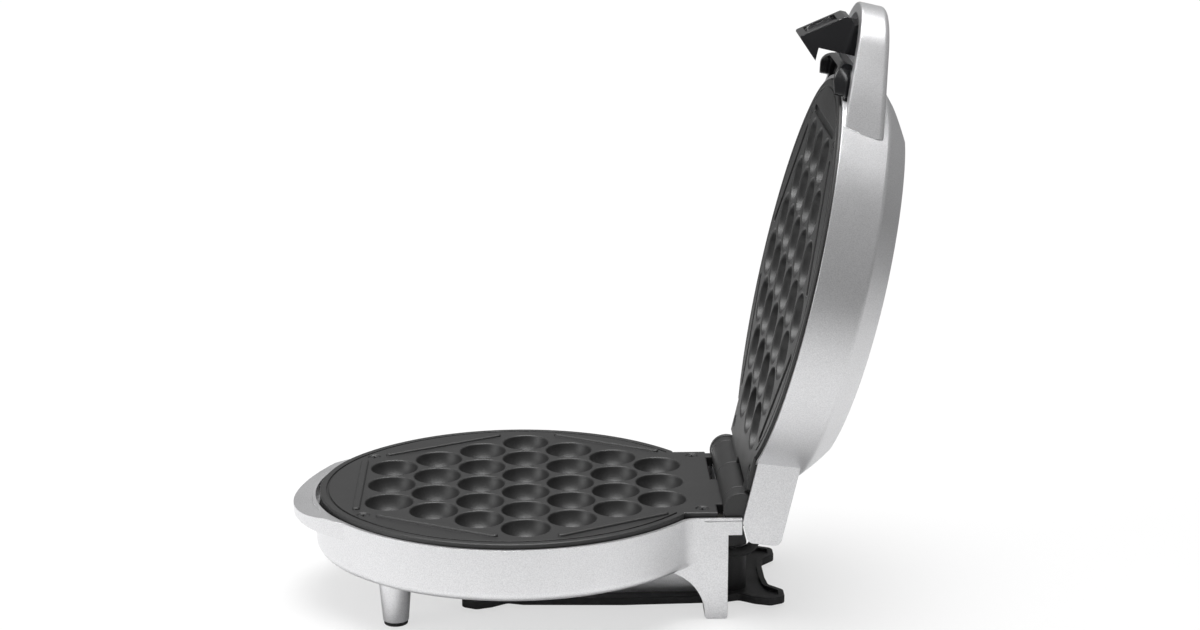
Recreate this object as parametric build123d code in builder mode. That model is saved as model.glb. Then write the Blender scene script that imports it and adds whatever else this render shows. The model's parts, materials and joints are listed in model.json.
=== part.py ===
from build123d import *
import math
import os

# A bubble-waffle maker, standing open on its feet, in millimetres.
# +X runs from the handle to the hinge, +Y across the machine, +Z up.
# The origin is on the table, under the middle of the open machine's footprint.

# ---------------------------------------------------------------- driving dimensions

# Where the lower cooking face lies in the part's frame
PATTERN_X = -33.63
COOKING_HEIGHT = 57.0

# Cooking pattern: columns of cavities across the machine, from handle to hinge
PITCH = 27.0
CAVITY_COUNTS = (3, 4, 5, 6, 5, 4, 3)
CAVITY_LAND = 2.2
CAVITY_DEPTH = 10.5
CAVITY_WALL = 1.6
CAVITY_RIM_ROUND = 0.8
RIM_ROUND = 0.5

# Cooking plates
PLATE_THICK = 3.0
PLATE_SKIRT = 9.0
SKIRT_WALL = 2.0
PLATE_GAP = 1.0
RIDGE_HEIGHT = 1.2
RIDGE_WIDTH = 3.8
RIDGE_CLEARANCE = 0.3
GROOVE_DEPTH = 0.8
EDGE_GROOVE_INSET = 3.4
EDGE_GROOVE_WIDTH = 1.2
LAND_END_X = 97.5
LAND_HALF_WIDTH = 48.5
LAND_START_X = 80.0

# Four-arc oval that both plates and both housings share, centred OVAL_X from the pattern
OVAL_X = -5.0
OVAL_HALF_LENGTH = 102.5
OVAL_HALF_WIDTH = 91.0

# Housings
SHELL_CLEARANCE = 0.6
SHELL_WALL = 1.8
BASE_RIM_DROP = 2.4
BASE_DEPTH = 30.2
BASE_FLOOR = 3.2
BASE_ROUND = 5.0
LID_RIM_DROP = 1.4
LID_RIDGE_DEPTH = 26.2
LID_DRAFT = 4.5
LID_TOP_DEPTH = 37.5
LID_CHAMFER_INSET = 12.5
LID_RIDGE_ROUND = 2.5
LID_ROOF = 2.2
FACET_FRONT_X = -89.5
FACET_FRONT_SLOPE = 27.0
FACET_CROWN_X = -20.0
FACET_CROWN_SLOPE = 0.4
FACET_REAR_X = 66.5
FACET_REAR_SLOPE = 20.5

# Hinge: one pin on a line across the machine, lid open past the vertical
HINGE_X = 109.0
HINGE_Z = 1.1
LID_OPEN_ANGLE = 102.9
BARREL_R = 8.5
BARREL_HALF = 45.5
KNUCKLE_JOINT = 0.4
KNUCKLE_ROUND = 0.5
KNUCKLE_WEB = 5.0
PIN_R = 2.5
RUNNING_CLEARANCE = 0.05
BARREL_CLEARANCE = 0.8
END_CAP_THICK = 3.0
END_CAP_PROUD = 0.4

# Rear housing block, hinge shelf and rear legs of the base
BLOCK_HALF_WIDTH = 51.3
BLOCK_REAR_X = 102.6
BLOCK_BLEND = 9.0
SHELF_END_X = 109.6
SHELF_BOTTOM = 11.3
REVEAL_DROP = 1.2
REVEAL_SIZE = 0.5
LEG_WIDTH = 15.0
LEG_TOE_X = 91.0
LEG_TOE_ROUND = 1.5
GUSSET_R = 24.5

# Hinge block of the lid
LID_BLOCK_TOP = 2.2
LID_BLOCK_ROOF = 23.8
LID_BLOCK_REAR_X = 124.5
LID_BLOCK_HEEL_X = 114.5
LID_BLOCK_HEEL_RISE = 5.2
LID_BLOCK_LEAN = 1.6
LID_BLOCK_ROUND = 4.0

# Front lip of the base
LIP_R = 60.0
LIP_CENTRE_X = -61.5
LIP_SLOPE = 13.2
LIP_SLOPE_START_X = -103.0
LIP_BOTTOM = 11.0
LIP_SKIN = 2.4
LIP_GAP = 1.7
LIP_GAP_R = 75.5

# Feet
FOOT_X = -66.7
FOOT_SIDE_INSET = 41.0
FOOT_TOP_R = 8.6
FOOT_TIP_R = 6.6
FLOOR_BOSS_CLEARANCE = 1.2
FOOT_SCREW_R = 1.5
FOOT_HEAD_R = 3.0
FOOT_HEAD_HEIGHT = 2.0
PAD_HEIGHT = 2.2
PAD_R = 6.1
REAR_PAD_R = 4.0
REAR_PAD_THICK = 1.6
REAR_PAD_PROUD = 0.4
REAR_PAD_X = 96.6
REAR_PAD_Y = 43.8

# Bottom cover, its cord spool and the cord winder
COVER_INSET = 30.0
COVER_THICK = 1.6
COVER_LEDGE = 5.0
COVER_CLEARANCE = 0.3
COVER_SCREW_X = 34.0
COVER_SCREW_INSET = 35.4
SMALL_SCREW_R = 1.2
SMALL_HEAD_R = 2.2
SMALL_HEAD_HEIGHT = 1.2
VENT_X = -48.0
VENT_PITCH = 9.0
VENT_LENGTH = 26.0
VENT_WIDTH = 2.6
SPOOL_CENTRE_X = 50.1
SPOOL_HALF_LENGTH = 65.0
SPOOL_HALF_WIDTH = 23.0
SPOOL_ROUND = 8.0
SPOOL_WALL = 2.2
SPOOL_OVERHANG_TOP = 28.0
WINDER_TOP = 51.2
WINDER_BOTTOM = 55.3
WINDER_DISH = 1.6
WINDER_RIM = 3.0
WINDER_ROUND = 3.5
WINDER_SCREW_X = 30.0
WINDER_SCREW_R = 1.7
WINDER_HEAD_R = 3.4
WINDER_HEAD_HEIGHT = 1.8
TUBE_R = 4.2

# Plate screws and their bosses, in both halves
FRONT_SCREW_ANGLE = 39.6
FRONT_SCREW_EDGE = 9.0
REAR_SCREW = (89.9, 42.0)
SCREW_R = 1.7
SCREW_HEAD_R = 3.6
SCREW_LENGTH = 16.0
SCREW_CLEARANCE = 0.1
BOSS_R = 4.0

# Heating elements, reflectors and controls
ELEMENT_R = 3.2
ELEMENT_GAP = 0.2
ELEMENT_BEND_R = 10.0
ELEMENT_TAIL_X = 92.0
ELEMENT_TAIL_Y = 12.5
REFLECTOR_INSET = 16.0
REFLECTOR_THICK = 0.8
REFLECTOR_CLEARANCE = 1.3
REFLECTOR_RIM = 4.0
POST_R = 3.0
POST_X = 30.0
POST_INSET = 29.0
THERMOSTAT_R = 7.5
THERMOSTAT_HEIGHT = 5.0
THERMOSTAT_SLOT = 18.0
FUSE_X = -40.0
FUSE_R = 2.0
FUSE_LENGTH = 14.0
TERMINAL_X = 92.5
TERMINAL_LENGTH = 10.0
TERMINAL_WIDTH = 20.0
TERMINAL_HEIGHT = 6.0

# Flexible wire conduit between base and lid, and the mains lead's inlet
CONDUIT_R = 2.6
CONDUIT_BORE_R = 1.9
CONDUIT_Y = -30.0
CONDUIT_DEPTH = 28.5
CONDUIT_BEND_R = 9.0
CONDUIT_LID_DEPTH = 14.3
CONDUIT_CLEARANCE = 0.1
GLAND_FLANGE = 1.6
GLAND_FLANGE_R = 4.6
GLAND_R = 3.6
GLAND_LENGTH = 5.0
CONDUIT_BOSS_HALF = 6.3
CONDUIT_BOSS_START_X = 92.0
CONDUIT_BOSS_TOP = 20.0
CONDUIT_BOSS_BOTTOM = 34.2
INLET_Y = 30.0
INLET_DEPTH = 21.5
INLET_BORE_R = 3.5
INLET_BODY_R = 5.0
INLET_FLANGE_R = 6.6
INLET_LENGTH = 9.0

# Handle loop, thumb guard and latch on the lid
HANDLE_NOSE_X = -149.0
HANDLE_NOSE_R = 33.0
HANDLE_HALF_ANGLE = 28.0
HANDLE_WALL = 5.5
HANDLE_LOW = 2.7
HANDLE_ROOT_X = -91.5
HANDLE_ROOT_DEPTH = 23.2
HANDLE_TOP_SLOPE = 6.5
HANDLE_ROUND = 3.0
HANDLE_LOW_ROUND = 1.0
TONGUE_DEPTHS = (11.0, 17.0)
TONGUE_REACH = 2.5
GUARD_END_X = -119.5
GUARD_HALF_WIDTH = 32.0
GUARD_NOSE_R = 17.0
GUARD_NOSE_ROUND = 7.0
GUARD_WALL = 2.0
GUARD_WEB_DEPTHS = (3.7, 5.7)
GUARD_LIP_CLEARANCE = 0.7
GUARD_TAB_X = -110.0
GUARD_TAB_LENGTH = 6.0
GUARD_TAB_REACH = 1.5
LATCH_PIVOT = (-137.4, 8.0)
LATCH_HALF_WIDTH = 11.0
LATCH_BOSS_R = 3.4
LATCH_PIN_R = 1.5
LATCH_PIN_HALF = 19.0
LATCH_PANEL_DEPTH = 1.4
LATCH_PANEL_BORDER = 2.0
SPRING_WIRE_R = 0.3
SPRING_R = 2.0
SPRING_TURNS = 2
SPRING_LENGTH = 1.7

# Indicator windows on the lid
LENS_X = -70.0
LENS_Y = 9.0
LENS_R = 3.5
LENS_FLANGE_R = 4.8
LENS_PROUD = 0.6
LAMP_R = 2.4
LAMP_CLEARANCE = 1.1

# ---------------------------------------------------------------- frames

# Each half has its own frame: its origin is the pattern's centre on the cooking face,
# x points to the hinge and z points into that half's housing. Depths are along that z.
BASE = Plane(origin=(PATTERN_X, 0, COOKING_HEIGHT), x_dir=(1, 0, 0), z_dir=(0, 0, -1))
LID_CLOSED = Plane(
    origin=(PATTERN_X, 0, COOKING_HEIGHT + PLATE_GAP), x_dir=(1, 0, 0), z_dir=(0, 0, 1)
)
HINGE_POINT = (PATTERN_X + HINGE_X, 0, COOKING_HEIGHT + HINGE_Z)


def opened(location):
    """Turns a place on the closed lid about the hinge pin to where the open lid has it."""
    to_hinge = Location(HINGE_POINT)
    return to_hinge * Location((0, 0, 0), (0, LID_OPEN_ANGLE, 0)) * to_hinge.inverse() * location


LID = Plane(opened(LID_CLOSED.location))


# ---------------------------------------------------------------- shared outlines

# The end arcs have an ellipse's own radius there; the side arcs touch them
END_ARC_R = OVAL_HALF_WIDTH**2 / OVAL_HALF_LENGTH
END_CENTRE_X = OVAL_HALF_LENGTH - END_ARC_R
SIDE_CENTRE_Y = (END_CENTRE_X**2 / (OVAL_HALF_WIDTH - END_ARC_R) - OVAL_HALF_WIDTH + END_ARC_R) / 2
SIDE_ARC_R = OVAL_HALF_WIDTH + SIDE_CENTRE_Y
SHELL_GROW = SHELL_CLEARANCE + SHELL_WALL
CAVITY_RIM_R = (PITCH - CAVITY_LAND) / 2
CAVITY_BALL_R = (CAVITY_RIM_R**2 + CAVITY_DEPTH**2) / (2 * CAVITY_DEPTH)
CAVITY_BOTTOM = CAVITY_DEPTH + CAVITY_WALL
REFLECTOR_DEPTH = CAVITY_BOTTOM + ELEMENT_GAP + 2 * ELEMENT_R + REFLECTOR_CLEARANCE
FAR = 400.0


def oval(grow=0.0):
    """The four-arc oval, grown outwards all round."""
    turn = math.degrees(math.atan(SIDE_CENTRE_Y / END_CENTRE_X))
    with BuildSketch() as outline:
        with BuildLine():
            CenterArc((OVAL_X, -SIDE_CENTRE_Y), SIDE_ARC_R + grow, turn, 180 - 2 * turn)
            CenterArc((OVAL_X - END_CENTRE_X, 0), END_ARC_R + grow, 180 - turn, 2 * turn)
            CenterArc((OVAL_X, SIDE_CENTRE_Y), SIDE_ARC_R + grow, 180 + turn, 180 - 2 * turn)
            CenterArc((OVAL_X + END_CENTRE_X, 0), END_ARC_R + grow, -turn, 2 * turn)
        make_face()
    return outline.sketch


def strip(low_x, high_x, half_width):
    """A rectangle that is symmetric about the frame's x axis."""
    with BuildSketch() as outline:
        with Locations(((low_x + high_x) / 2, 0)):
            Rectangle(high_x - low_x, 2 * half_width)
    return outline.sketch


def plate_outline(inset=0.0):
    """A cooking plate: the oval cut off behind, and the land that carries the hinge."""
    with BuildSketch() as outline:
        add(oval(-inset))
        add(strip(LAND_START_X - inset, FAR, FAR), mode=Mode.SUBTRACT)
        add(strip(0, LAND_END_X - inset, LAND_HALF_WIDTH - inset))
    return outline.sketch


def base_outline(inset=0.0):
    """The base housing: the oval blended into the rear block."""
    with BuildSketch() as outline:
        add(oval(SHELL_GROW - inset))
        add(strip(0, BLOCK_REAR_X - inset, BLOCK_HALF_WIDTH - inset))
        # Growing and shrinking by the blend's radius rounds only the hollow corners
        offset(amount=BLOCK_BLEND + inset, kind=Kind.INTERSECTION)
        offset(amount=-BLOCK_BLEND - inset)
    return outline.sketch


def side_of(frame, y=0.0):
    """The plane at a given y of a frame, with u along the frame's x and v along its depth."""
    middle = Plane(origin=frame.origin, x_dir=frame.x_dir, z_dir=-frame.y_dir)
    return middle.offset(-y)


def facing_rear(frame, x):
    """The plane across a frame's x axis, with u along the frame's y and v along its depth."""
    return Plane(
        origin=frame.from_local_coords((x, 0, 0)), x_dir=frame.y_dir, z_dir=frame.x_dir
    )


def mirrored(points):
    """The same points and their mirror images across the frame's x axis."""
    return [(x, sign * y) for x, y in points for sign in (1, -1)]


def cavity_centres():
    """The centres of all cavities, column by column."""
    middle = (len(CAVITY_COUNTS) - 1) / 2
    column_pitch = PITCH * math.sqrt(3) / 2
    centres = []
    for column, count in enumerate(CAVITY_COUNTS):
        for row in range(count):
            centres.append(((column - middle) * column_pitch, (row - (count - 1) / 2) * PITCH))
    return centres


def bar_places(bars):
    """Where slots have to stand so that each runs from one end of a bar to the other."""
    places = []
    for start, end in bars:
        run = Vector(*end) - Vector(*start)
        middle = (Vector(*end) + Vector(*start)) / 2
        angle = math.degrees(math.atan2(run.Y, run.X))
        places.append((Location((middle.X, middle.Y, 0), (0, 0, angle)), run.length))
    return places


# The front plate screws lie a set way in from the end arc, at an angle about its centre
FRONT_SCREW_R = END_ARC_R - FRONT_SCREW_EDGE
FRONT_SCREW_RUN = FRONT_SCREW_R * math.cos(math.radians(FRONT_SCREW_ANGLE))
FRONT_SCREW_Y = FRONT_SCREW_R * math.sin(math.radians(FRONT_SCREW_ANGLE))
PLATE_SCREWS = mirrored([(OVAL_X - END_CENTRE_X - FRONT_SCREW_RUN, FRONT_SCREW_Y), REAR_SCREW])
REFLECTOR_POSTS = mirrored(
    [(OVAL_X + x, OVAL_HALF_WIDTH - POST_INSET) for x in (POST_X, -POST_X)]
)
COVER_SCREWS = mirrored(
    [(OVAL_X + x, OVAL_HALF_WIDTH - COVER_SCREW_INSET) for x in (COVER_SCREW_X, -COVER_SCREW_X)]
)
WINDER_SCREWS = [(SPOOL_CENTRE_X - WINDER_SCREW_X, 0), (SPOOL_CENTRE_X + WINDER_SCREW_X, 0)]
FEET = mirrored([(FOOT_X, OVAL_HALF_WIDTH - FOOT_SIDE_INSET)])
REAR_PADS = mirrored([(REAR_PAD_X, REAR_PAD_Y)])
LENSES = mirrored([(LENS_X, LENS_Y)])

# The border round the pattern: a straight bar in front, slanted bars along the sides
BORDER_BARS = [((-86.4, -39.0), (-86.4, 39.0)), ((-75.5, 47.2), (-14.0, 79.8))]
BORDER_BARS += [((-75.5, -47.2), (-14.0, -79.8))]
BORDER_BARS += [((16.0, 80.0), (72.0, 49.0)), ((16.0, -80.0), (72.0, -49.0))]

# The barrel's knuckles, as (low y, high y) in the part's frame, taking turns along the pin
LID_KNUCKLES = ((-BARREL_HALF, -36.5), (2.5, 38.5))
BASE_KNUCKLES = (
    (LID_KNUCKLES[0][1] + KNUCKLE_JOINT, LID_KNUCKLES[1][0] - KNUCKLE_JOINT),
    (LID_KNUCKLES[1][1] + KNUCKLE_JOINT, BARREL_HALF),
)

# Depth of the hinge line in each frame, and the sign of the part's y in it
BASE_HINGE = (HINGE_X, -HINGE_Z)
LID_HINGE = (HINGE_X, HINGE_Z - PLATE_GAP)
BASE_SIDE = side_of(BASE)
LID_SIDE = side_of(LID)

# ---------------------------------------------------------------- pieces both halves have


def border_bars(frame, raised):
    """The bars of the border: round-edged ridges on one plate, slots for them in the other."""
    side = 0 if raised else RIDGE_CLEARANCE
    height = -RIDGE_HEIGHT if raised else RIDGE_HEIGHT + RIDGE_CLEARANCE
    with BuildPart() as bars:
        with BuildSketch(frame):
            for place, length in bar_places(BORDER_BARS):
                with Locations(place):
                    SlotOverall(length + 2 * side, RIDGE_WIDTH + 2 * side)
        extrude(amount=height)
        if raised:
            fillet(bars.edges().group_by(Axis(frame.origin, frame.z_dir))[0], CAVITY_RIM_ROUND)
    return bars.part


def knuckle(frame, hinge, middle, length):
    """One length of the hinge barrel, its end edges rounded."""
    with BuildPart() as barrel:
        with BuildSketch(side_of(frame, middle)):
            with Locations(hinge):
                Circle(BARREL_R)
        extrude(amount=length / 2, both=True)
        fillet(barrel.edges().filter_by(GeomType.CIRCLE), KNUCKLE_ROUND)
    return barrel.part


def cooking_plate(frame, hinge, y_sign, knuckles, bore_r, raised):
    """One cast plate with its cavities, skirt, hinge land and barrel knuckles."""
    ball_centre = CAVITY_DEPTH - CAVITY_BALL_R
    places = [frame.location * Location((x, y, ball_centre)) for x, y in cavity_centres()]
    with BuildPart() as plate:
        with BuildSketch(frame):
            add(plate_outline())
        extrude(amount=PLATE_SKIRT)
        chamfer(plate.edges().group_by(Axis(frame.origin, frame.z_dir))[0], RIM_ROUND)
        with BuildSketch(frame.offset(PLATE_THICK)):
            add(plate_outline(SKIRT_WALL))
        extrude(amount=PLATE_SKIRT, mode=Mode.SUBTRACT)
        with Locations(places):
            Sphere(CAVITY_BALL_R + CAVITY_WALL)
        with BuildSketch(frame):
            add(oval(PITCH))
        extrude(amount=-2 * PITCH, mode=Mode.SUBTRACT)
        with Locations(places):
            Sphere(CAVITY_BALL_R, mode=Mode.SUBTRACT)
        rims = plate.edges().filter_by(GeomType.CIRCLE)
        fillet(rims.filter_by(lambda edge: abs(edge.radius - CAVITY_RIM_R) < 0.02), CAVITY_RIM_ROUND)
        add(border_bars(frame, raised), mode=Mode.ADD if raised else Mode.SUBTRACT)
        for low, high in knuckles:
            middle = y_sign * (low + high) / 2
            with BuildSketch(frame):
                with Locations(((LAND_END_X - SKIRT_WALL + HINGE_X) / 2, middle)):
                    Rectangle(HINGE_X - LAND_END_X + SKIRT_WALL, high - low)
            extrude(amount=KNUCKLE_WEB)
            add(knuckle(frame, hinge, middle, high - low))
        with BuildSketch(side_of(frame)):
            with Locations(hinge):
                Circle(bore_r)
        extrude(amount=BARREL_HALF, both=True, mode=Mode.SUBTRACT)
        with BuildSketch(frame):
            with Locations(PLATE_SCREWS):
                Circle(SCREW_R + SCREW_CLEARANCE)
        extrude(amount=PLATE_THICK, mode=Mode.SUBTRACT)
        with BuildSketch(frame):
            with Locations(PLATE_SCREWS):
                Circle(SCREW_HEAD_R)
        extrude(amount=SCREW_HEAD_R - SCREW_R, taper=45, mode=Mode.SUBTRACT)
        # Shallow groove inside the edge of the oval
        with BuildSketch(frame):
            add(oval(-EDGE_GROOVE_INSET))
            add(oval(-EDGE_GROOVE_INSET - EDGE_GROOVE_WIDTH), mode=Mode.SUBTRACT)
            add(strip(LAND_START_X - EDGE_GROOVE_INSET, FAR, FAR), mode=Mode.SUBTRACT)
        extrude(amount=GROOVE_DEPTH, mode=Mode.SUBTRACT)
    return plate.part


def plate_screws(frame):
    """Four countersunk screws that hold a plate down on its housing's bosses."""
    with BuildPart() as screws:
        with BuildSketch(frame.offset(RIM_ROUND)):
            with Locations(PLATE_SCREWS):
                Circle(SCREW_HEAD_R - RIM_ROUND)
        extrude(amount=SCREW_HEAD_R - RIM_ROUND - SCREW_R, taper=45)
        with BuildSketch(frame.offset(RIM_ROUND)):
            with Locations(PLATE_SCREWS):
                Circle(SCREW_R)
        extrude(amount=SCREW_LENGTH)
        with BuildSketch(frame.offset(RIM_ROUND)):
            with Locations(PLATE_SCREWS):
                Rectangle(2 * SCREW_R, SCREW_R / 2)
                Rectangle(SCREW_R / 2, 2 * SCREW_R)
        extrude(amount=SCREW_R / 2, mode=Mode.SUBTRACT)
    return screws.part


def element(frame):
    """A bent tubular heating element lying against the undersides of the cavities."""
    half = [(ELEMENT_TAIL_X, ELEMENT_TAIL_Y), (62.0, ELEMENT_TAIL_Y), (44.0, 42.0)]
    half += [(OVAL_X, 60.0), (-54.0, 38.0)]
    route = half + [(x, -y) for x, y in reversed(half)]
    with BuildPart() as tube:
        with BuildLine(frame.offset(CAVITY_BOTTOM + ELEMENT_GAP + ELEMENT_R)) as path:
            FilletPolyline(*route, radius=ELEMENT_BEND_R)
        with BuildSketch(Plane(path.line @ 0, z_dir=path.line % 0)):
            Circle(ELEMENT_R)
        sweep()
    return tube.part


def reflector(frame):
    """A thin dished tray that sends the element's heat back at the plate."""
    rim_top = REFLECTOR_DEPTH - REFLECTOR_RIM
    with BuildPart() as tray:
        with BuildSketch(frame.offset(rim_top)):
            add(oval(-REFLECTOR_INSET))
        extrude(amount=REFLECTOR_RIM + REFLECTOR_THICK)
        with BuildSketch(frame.offset(rim_top)):
            add(oval(-REFLECTOR_INSET - REFLECTOR_THICK))
            add(strip(2 * POST_X, FAR, ELEMENT_TAIL_Y + 2 * ELEMENT_R))
        extrude(amount=REFLECTOR_RIM, mode=Mode.SUBTRACT)
        with BuildSketch(frame.offset(rim_top)):
            with Locations((0, PITCH / 2)):
                Rectangle(THERMOSTAT_SLOT, THERMOSTAT_SLOT / 2)
            with Locations(REFLECTOR_POSTS):
                Circle(SMALL_SCREW_R + SCREW_CLEARANCE)
        extrude(amount=REFLECTOR_RIM + REFLECTOR_THICK, mode=Mode.SUBTRACT)
    return tray.part


def small_screws(frame, places, head_depth, length):
    """Small screws whose heads start at a given depth and whose shanks run deeper from there."""
    head_height = math.copysign(SMALL_HEAD_HEIGHT, length)
    with BuildPart() as screws:
        with BuildSketch(frame.offset(head_depth)):
            with Locations(places):
                Circle(SMALL_HEAD_R)
        extrude(amount=head_height)
        with BuildSketch(frame.offset(head_depth)):
            with Locations(places):
                Circle(SMALL_SCREW_R)
        extrude(amount=length)
        with BuildSketch(frame.offset(head_depth)):
            with Locations(places):
                Rectangle(2 * SMALL_SCREW_R, SMALL_SCREW_R / 2)
                Rectangle(SMALL_SCREW_R / 2, 2 * SMALL_SCREW_R)
        extrude(amount=head_height / 2, mode=Mode.SUBTRACT)
    return screws.part


def thermostat(frame):
    """A snap-disc thermostat under a middle cavity, with its two blades through the reflector."""
    body_start = CAVITY_BOTTOM + ELEMENT_GAP
    with BuildPart() as switch:
        with BuildSketch(frame.offset(body_start)):
            with Locations((0, PITCH / 2)):
                Circle(THERMOSTAT_R)
        extrude(amount=THERMOSTAT_HEIGHT)
        with BuildSketch(frame.offset(body_start + THERMOSTAT_HEIGHT)):
            with Locations((0, PITCH / 2)):
                with GridLocations(THERMOSTAT_R, 0, 2, 1):
                    Rectangle(REFLECTOR_THICK, THERMOSTAT_R / 2)
        extrude(amount=THERMOSTAT_HEIGHT)
    return switch.part


def housing_bosses(frame, floor, post_foot):
    """Round bosses for the plate screws and the reflector posts, standing on a housing's floor."""
    post_top = REFLECTOR_DEPTH + REFLECTOR_THICK
    with BuildPart() as bosses:
        with BuildSketch(frame.offset(PLATE_THICK)):
            with Locations(PLATE_SCREWS):
                Circle(BOSS_R)
        extrude(amount=floor - PLATE_THICK)
        with BuildSketch(frame.offset(post_top)):
            with Locations(REFLECTOR_POSTS):
                Circle(POST_R)
        extrude(amount=post_foot - post_top)
        with BuildSketch(frame.offset(PLATE_THICK)):
            with Locations(PLATE_SCREWS):
                Circle(SCREW_R + SCREW_CLEARANCE)
        extrude(amount=SCREW_LENGTH, mode=Mode.SUBTRACT)
        with BuildSketch(frame.offset(post_top)):
            with Locations(REFLECTOR_POSTS):
                Circle(SMALL_SCREW_R + SCREW_CLEARANCE)
        extrude(amount=POST_R, mode=Mode.SUBTRACT)
    return bosses.part


def hinge_trough(frame, hinge, y_sign, knuckles):
    """The space the barrel needs: a round trough, and slots for the webs of one plate."""
    half = BARREL_HALF + END_CAP_THICK + BARREL_CLEARANCE
    with BuildPart() as trough:
        with BuildSketch(side_of(frame)):
            with Locations(hinge):
                Circle(BARREL_R + BARREL_CLEARANCE)
        extrude(amount=half, both=True)
        for low, high in knuckles:
            with BuildSketch(frame.offset(-FAR / 2)):
                with Locations(((LAND_END_X + HINGE_X) / 2, y_sign * (low + high) / 2)):
                    Rectangle(HINGE_X - LAND_END_X, high - low + 2 * BARREL_CLEARANCE)
            extrude(amount=FAR / 2 + KNUCKLE_WEB + BARREL_CLEARANCE)
    return trough.part


def gland(frame, place, flange_r, body_r, bore_r, length):
    """A round bush through a rear wall, with its flange outside."""
    rear = Plane(origin=frame.from_local_coords(place), z_dir=frame.x_dir)
    with BuildPart() as bush:
        with BuildSketch(rear):
            Circle(flange_r)
        extrude(amount=GLAND_FLANGE)
        fillet(bush.edges().group_by(Axis(rear.origin, rear.z_dir))[-1], GLAND_FLANGE / 2)
        with BuildSketch(rear):
            Circle(body_r)
        extrude(amount=-length)
        with BuildSketch(rear.offset(GLAND_FLANGE)):
            Circle(bore_r)
        extrude(amount=-length - GLAND_FLANGE, mode=Mode.SUBTRACT)
    return bush.part

# ---------------------------------------------------------------- base housing

BASE_FLOOR_TOP = BASE_DEPTH - BASE_FLOOR
FLOOR_BOSS_TOP = REFLECTOR_DEPTH + REFLECTOR_THICK + FLOOR_BOSS_CLEARANCE
FOOT_BOSS_HEIGHT = BASE_FLOOR_TOP - FLOOR_BOSS_TOP
LEG_BOTTOM = COOKING_HEIGHT - REAR_PAD_PROUD
LEG_Y = BLOCK_HALF_WIDTH - LEG_WIDTH / 2
LIP_RUN = LIP_R + abs(LIP_CENTRE_X) - abs(LIP_SLOPE_START_X)
LIP_DROP = LIP_RUN * math.tan(math.radians(LIP_SLOPE))
CONDUIT_BASE_Y = -CONDUIT_Y
CONDUIT_ENTRY = (BLOCK_REAR_X, CONDUIT_BASE_Y, CONDUIT_DEPTH)
CONDUIT_HOLE_R = CONDUIT_R + CONDUIT_CLEARANCE
INLET_BASE_Y = -INLET_Y


def lip_profile(drop):
    """The side view of the front lip, its sloping face lowered by a given drop."""
    nose_x = LIP_CENTRE_X - LIP_R
    with BuildSketch() as profile:
        with BuildLine():
            Polyline(
                (LIP_SLOPE_START_X, BASE_RIM_DROP + drop),
                (nose_x, BASE_RIM_DROP + drop + LIP_DROP),
                (nose_x, LIP_BOTTOM),
                (LIP_CENTRE_X, LIP_BOTTOM),
                (LIP_CENTRE_X, BASE_RIM_DROP + drop),
                close=True,
            )
        make_face()
    return profile.sketch


def lip_solid(inset, drop):
    """The round lip cut to its side view, smaller all round by an inset."""
    with BuildPart() as lip:
        with BuildSketch(BASE.offset(BASE_RIM_DROP)):
            with Locations((LIP_CENTRE_X, 0)):
                Circle(LIP_R - inset)
        extrude(amount=LIP_BOTTOM - BASE_RIM_DROP)
        with BuildSketch(BASE_SIDE):
            add(lip_profile(drop))
        extrude(amount=LIP_R, both=True, mode=Mode.INTERSECT)
    return lip.part


def front_circle(grow):
    """A circle that stands a gap ahead of the plate at the nose and meets its oval at the sides."""
    nose_x = OVAL_X - OVAL_HALF_LENGTH - SHELL_CLEARANCE - LIP_GAP
    with BuildSketch() as outline:
        with Locations((nose_x + LIP_GAP_R, 0)):
            Circle(LIP_GAP_R + grow)
    return outline.sketch


with BuildPart() as base_hollow:
    with BuildSketch(BASE.offset(BASE_RIM_DROP)):
        add(base_outline(SHELL_WALL))
    extrude(amount=BASE_FLOOR_TOP - BASE_RIM_DROP)
    add(housing_bosses(BASE, BASE_FLOOR_TOP, BASE_FLOOR_TOP), mode=Mode.SUBTRACT)
    with BuildSketch(BASE.offset(FLOOR_BOSS_TOP)):
        with Locations(FEET):
            Circle(BOSS_R)
        with Locations(COVER_SCREWS):
            Circle(POST_R)
        with Locations(WINDER_SCREWS[1]):
            Circle(BOSS_R)
    extrude(amount=FOOT_BOSS_HEIGHT, mode=Mode.SUBTRACT)

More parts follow.
